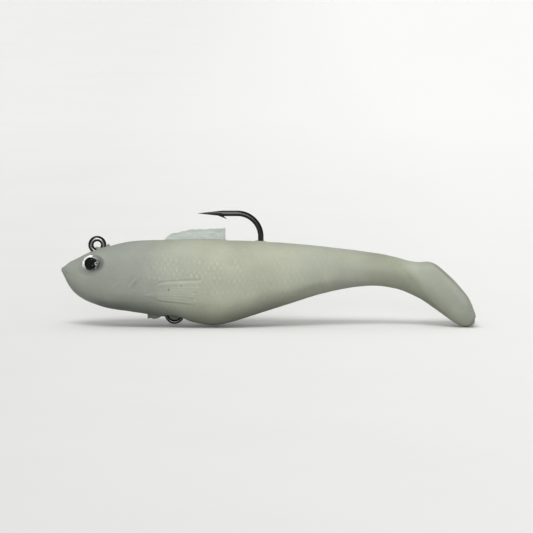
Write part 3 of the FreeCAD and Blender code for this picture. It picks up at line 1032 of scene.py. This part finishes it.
def web(name, root, rim, material, root_half, rim_half, rays=0, ray_depth=0.0):
    """Closed thin blade in the middle plane between a root line and a rim line of (x, z) points."""
    levels = WEB_LEVELS
    count = len(root)
    share = np.linspace(0.0, 1.0, count)
    ends = np.clip(np.sqrt(np.clip(1 - np.abs(2 * share - 1) ** 14, 0, 1)), 0.12, 1.0)
    ribs = 1 + ray_depth * np.cos(2 * math.pi * rays * share)
    heights = 1 - (1 - np.linspace(0.0, 1.0, levels)) ** 1.6
    tip = np.sqrt(np.clip(1 - np.clip((heights - 0.86) / 0.14, 0, 1) ** 2, 0.0, 1.0))
    half = (root_half + (rim_half - root_half) * heights) * np.maximum(tip, 0.08)
    points = []
    edge = []
    for i in range(count):
        thick = half * ends[i] * (1 + (ribs[i] - 1) * heights)
        for side in (1, -1):
            order = range(levels) if side > 0 else range(levels - 1, -1, -1)
            for level in order:
                x, z = root[i] + (rim[i] - root[i]) * heights[level]
                points.append((x, side * thick[level], z))
                edge.append(heights[level])
    ring = 2 * levels
    faces = grid_faces(count, ring)
    faces.append(tuple(range(ring)))
    faces.append(tuple((count - 1) * ring + k for k in reversed(range(ring))))
    obj = mesh_object(name, points, faces, material)
    set_attribute(obj, "edge", edge)
    return obj


def even_line(points, count):
    """Points spread evenly over a line of (x, z) points, rounded by a cubic curve."""
    points = np.array(points, float)
    travelled = np.concatenate([[0.0], np.cumsum(np.hypot(*np.diff(points, axis=0).T))])
    where = np.linspace(0.0, travelled[-1], count)
    return np.stack([curve_through(travelled, points[:, k], where) for k in (0, 1)], axis=-1)


def torn(count, rough, teeth, phase):
    """Uneven height of a torn edge."""
    t = np.linspace(0.0, 1.0, count)
    saw = np.mod(teeth * t + phase, 1.0) - 0.5
    return rough * (0.5 * np.sin(17.0 * t + phase) + 0.35 * np.sin(43.0 * t + 2 * phase) + 0.5 * saw)


def dorsal_web(grid, material):
    """Thin fin on the back with a torn top edge and a straight rear edge."""
    outline = [(20.7, 1.5), (21.3, 2.4), (22.3, 3.15), (24.0, 3.75), (26.0, 4.15), (28.6, 4.65), (31.0, 4.85),
               (33.8, 4.85), (36.4, 4.95), (38.2, 5.1), (39.3, 5.4)]
    count = 200
    share = np.linspace(0.0, 1.0, count)
    rim = even_line(outline, count)
    rim[:, 1] += torn(count, rough=0.16, teeth=11, phase=0.3) * smoothstep(0.0, 0.12, share)
    root_x = DORSAL_ENDS[0] + (DORSAL_ENDS[1] - DORSAL_ENDS[0]) * share
    root = np.stack([root_x, back_line(grid, root_x) - 0.35], axis=-1)
    return web("dorsal_web", root, rim, material, root_half=0.62, rim_half=0.2, rays=14, ray_depth=0.16)


def pelvic_web(grid, material):
    """Torn tab of vinyl under the belly, in front of the hanger."""
    outline = [(15.35, -22.75), (15.8, -22.75), (16.2, -22.6), (17.0, -22.8), (18.0, -22.85), (18.7, -22.6),
               (19.3, -22.25), (20.2, -22.12), (20.75, -22.1)]
    count = 90
    rim = even_line(outline, count)
    rim[:, 1] += torn(count, rough=0.08, teeth=7, phase=0.1)
    root_x = np.linspace(15.3, 20.8, count)
    root = np.stack([root_x, belly_line(grid, root_x) + 0.4], axis=-1)
    return web("pelvic_web", root, rim, material, root_half=0.6, rim_half=0.32, rays=5, ray_depth=0.15)


HANGER_WIRE = 1.1           # the web reaches a little way into the hanger's wire


def hanger_web(material):
    """Skin of flash inside the hanger's half loop."""
    low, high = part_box("belly_hanger")
    centre_x = (low.x + high.x) / 2 / UNIT
    outer = (high.x - low.x) / 2 / UNIT
    inner = outer - HANGER_WIRE
    centre_z = low.z / UNIT + outer
    share = np.linspace(-0.97, 0.97, 80)
    x = centre_x + inner * share
    rim = np.stack([x, centre_z - inner * np.sqrt(1 - share ** 2) + 0.03 * np.sin(23 * share)], axis=-1)
    root = np.stack([x, np.full_like(x, centre_z + 0.35)], axis=-1)
    return web("hanger_web", root, rim, material, root_half=0.42, rim_half=0.3, rays=3, ray_depth=0.1)


def tie_web(grid, material):
    """Flash that climbs the back of the line-tie eye and ends in a small torn nub."""
    outline = [(-0.95, -1.3), (-0.5, -0.72), (0.0, -0.6), (0.45, -0.7), (0.9, -1.0), (1.5, -1.0), (2.1, -0.5),
               (2.65, -0.1), (3.05, 0.05), (3.35, 0.3), (3.6, 0.25), (3.9, -0.2), (4.5, -0.5)]
    count = 110
    rim = even_line(outline, count)
    rim[:, 1] += torn(count, rough=0.05, teeth=6, phase=0.2)
    root_x = np.linspace(-0.9, 4.6, count)
    root = np.stack([root_x, back_line(grid, root_x) - 0.45], axis=-1)
    return web("line_tie_web", root, rim, material, root_half=0.55, rim_half=0.22)


# ---------------------------------------------------------------- studio
PANEL_SIDE = (0.0, -0.988, 0.156)   # a round soft panel stands on this side, a little above the lure
PANEL_EDGE = (0.972, 0.985)         # cosines between which its edge fades
PANEL_GLOW = 9.6
KEY_TURN = (37.0, 0.0, -12.0)       # degrees
KEY_POWER = 1.43
KEY_SPREAD = 28.0                   # degrees
FLOOR_REACH = 12.0
FLOOR_GAP = 0.0001                  # metres under the lowest wire


def sky():
    """Pale sky, brighter above, with a round soft panel in front of the lure."""
    world = bpy.data.worlds.new("pale_sky")
    bpy.context.scene.world = world
    world.use_nodes = True
    tree = world.node_tree
    background = next(node for node in tree.nodes if node.type == "BACKGROUND")
    background.inputs["Color"].default_value = (1.0, 1.0, 0.99, 1.0)
    direction = add_node(tree, "TexCoord", {}, "Generated")
    height = rescale(tree, axes(tree, direction)["Z"], -1.0, 1.0, 0.0, 1.0)
    glow = ramp(tree, height, [(0.0, 0.17), (0.45, 0.26), (0.52, 0.36), (1.0, 0.55)])
    facing = add_node(tree, "VectorMath", {0: direction, 1: PANEL_SIDE}, "Value", operation="DOT_PRODUCT")
    panel = rescale(tree, facing, *PANEL_EDGE, 0.0, PANEL_GLOW)
    feed(tree, background.inputs["Strength"], maths(tree, "ADD", glow, panel))


def key_light():
    """Wide soft light from the front and above."""
    key = bpy.data.lights.new("key", "SUN")
    key.energy = KEY_POWER
    key.angle = math.radians(KEY_SPREAD)
    key_obj = bpy.data.objects.new("key", key)
    key_obj.rotation_euler = [math.radians(degrees) for degrees in KEY_TURN]
    bpy.context.scene.collection.objects.link(key_obj)


def floor_paint():
    """Pale matt floor with painted light, a little brighter to the right and away, that throws back less
    light than it shows.
    """
    material, tree, shader = new_material("pale_floor", {"Roughness": 0.9, "Specular IOR Level": 0.1})
    coordinates = object_coordinates(tree)
    place = axes(tree, coordinates)
    grain = noise(tree, coordinates, 14.0, 3.0, 0.5)
    tone = uneven_colour(tree, grain, (0.930, 0.932, 0.915), (0.945, 0.947, 0.930))
    # painted light: the floor is brighter to the right and away
    tone = tinted(tree, tone, rescale(tree, place["X"], -0.03, 0.135, 0.94, 1.045))
    tone = tinted(tree, tone, rescale(tree, place["Y"], -0.75, 0.95, 0.93, 1.10))
    bounced = add_node(tree, "LightPath", {}, "Is Diffuse Ray")
    feed(tree, shader.inputs["Base Color"], mixed(tree, "MIX", bounced, tone, (0.27, 0.27, 0.26)))
    return material


def studio():
    """Sky, key light and floor."""
    bpy.context.scene.view_settings.view_transform = "Standard"
    sky()
    key_light()
    reach = FLOOR_REACH
    corners = [(-reach, -reach, 0), (reach, -reach, 0), (reach, reach, 0), (-reach, reach, 0)]
    mesh = bpy.data.meshes.new("floor")
    mesh.from_pydata(corners, [], [(0, 1, 2, 3)])
    mesh.materials.append(floor_paint())
    floor = bpy.data.objects.new("floor", mesh)
    floor.location = (0.0, 0.0, FLOOR_Z - FLOOR_GAP)
    bpy.context.scene.collection.objects.link(floor)


VIEW_WIDTH = 163.6          # what the frame is wide at the lure, in drawn millimetres
VIEW_CENTRE = (51.9, 0.0, -6.68)
VIEW_DISTANCE = 1.2
VIEW_ELEVATION = 6.0


def camera():
    """Long lens, square to the lure's side and a little above it."""
    lens = bpy.data.cameras.new("camera")
    lens.sensor_width = 36.0
    lens.lens = lens.sensor_width * VIEW_DISTANCE / (VIEW_WIDTH * UNIT)
    lens.clip_start = 0.05
    lens.clip_end = 40.0
    obj = bpy.data.objects.new("camera", lens)
    rise = math.radians(VIEW_ELEVATION)
    aim = Vector(VIEW_CENTRE) * UNIT
    obj.location = aim + Vector((0.0, -math.cos(rise), math.sin(rise))) * VIEW_DISTANCE
    obj.rotation_euler = (math.pi / 2 - rise, 0.0, 0.0)
    bpy.context.scene.collection.objects.link(obj)
    bpy.context.scene.camera = obj


# ---------------------------------------------------------------- assembly
def paint(node, material):
    """Give a CAD node its better material."""
    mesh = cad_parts[node].data
    mesh.materials.clear()
    mesh.materials.append(material)


def paint_fittings(resin):
    """Materials of the CAD nodes that are carried over."""
    paint("jig_hook", plated_wire("black_nickel", (0.034, 0.034, 0.034), (0.10, 0.10, 0.096), wear=0.15))
    paint("belly_hanger", plated_wire("hanger_plate", (0.042, 0.042, 0.040), (0.13, 0.126, 0.12), wear=0.12))
    paint("ballast_weight", lead())
    silver, black = foil(), pupil_black()
    for label in ("left", "right"):
        paint("eye_foil_" + label, silver)
        paint("pupil_" + label, black)
        paint("eye_dome_" + label, resin)


def join_skins(front, rear):
    """The two skins stand in for the moulding, the stem and the paddle."""
    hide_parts("body_moulding", "tail_stem")
    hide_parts("tail_paddle")
    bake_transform(front)
    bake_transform(rear)


def add_webs(grid):
    """The thin webs: all but the dorsal one stay with the trunk."""
    dorsal = dorsal_web(grid, web_vinyl("thin_web", (0.745, 0.79, 0.75), clear=0.5))
    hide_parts("dorsal_fin")
    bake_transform(dorsal)
    # the pelvic tab is painted dark for the shade under the belly
    pelvic = pelvic_web(grid, web_vinyl("pelvic_painted_shade", (0.225, 0.235, 0.20), clear=0.25))
    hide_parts("pelvic_fin")
    # the hanger's web of flash is painted dark for the shade inside the loop
    hanger = hanger_web(web_vinyl("hanger_painted_shade", (0.135, 0.145, 0.115), clear=0.2))
    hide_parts("hanger_flash")
    tie = tie_web(grid, web_vinyl("tie_web", (0.33, 0.37, 0.32), clear=0.35))
    for piece in (pelvic, hanger, tie):
        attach(piece, "trunk")


def add_eyes(grid, skin, resin):
    """A lid, a bubble-shaped ring that paints a ring-shaped reflection, and a lens for each eye. Side +1 is
    the right of the fish.
    """
    tree = skin_tree(grid)
    # grey ring in the lens, a painted reflection
    reflection_grey = reflection_ring_grey()
    for side, label in ((1, "right"), (-1, "left")):
        rim = eye_rim(side, label, tree, skin)
        bubble = painted_reflection_ring(side, label, reflection_grey)
        lens = eye_lens(side, label, resin)
        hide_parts("eye_dome_" + label)
        for piece, slot in ((rim, "soft_plastic"), (bubble, "clear_lens"), (lens, "clear_lens")):
            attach(piece, "trunk")


def build():
    """The whole lure."""
    skin = vinyl()
    resin = clear_resin()
    front, rear, grid = soft_skin(skin)
    join_skins(front, rear)
    add_webs(grid)
    add_eyes(grid, skin, resin)
    paint_fittings(resin)


build()
studio()
camera()
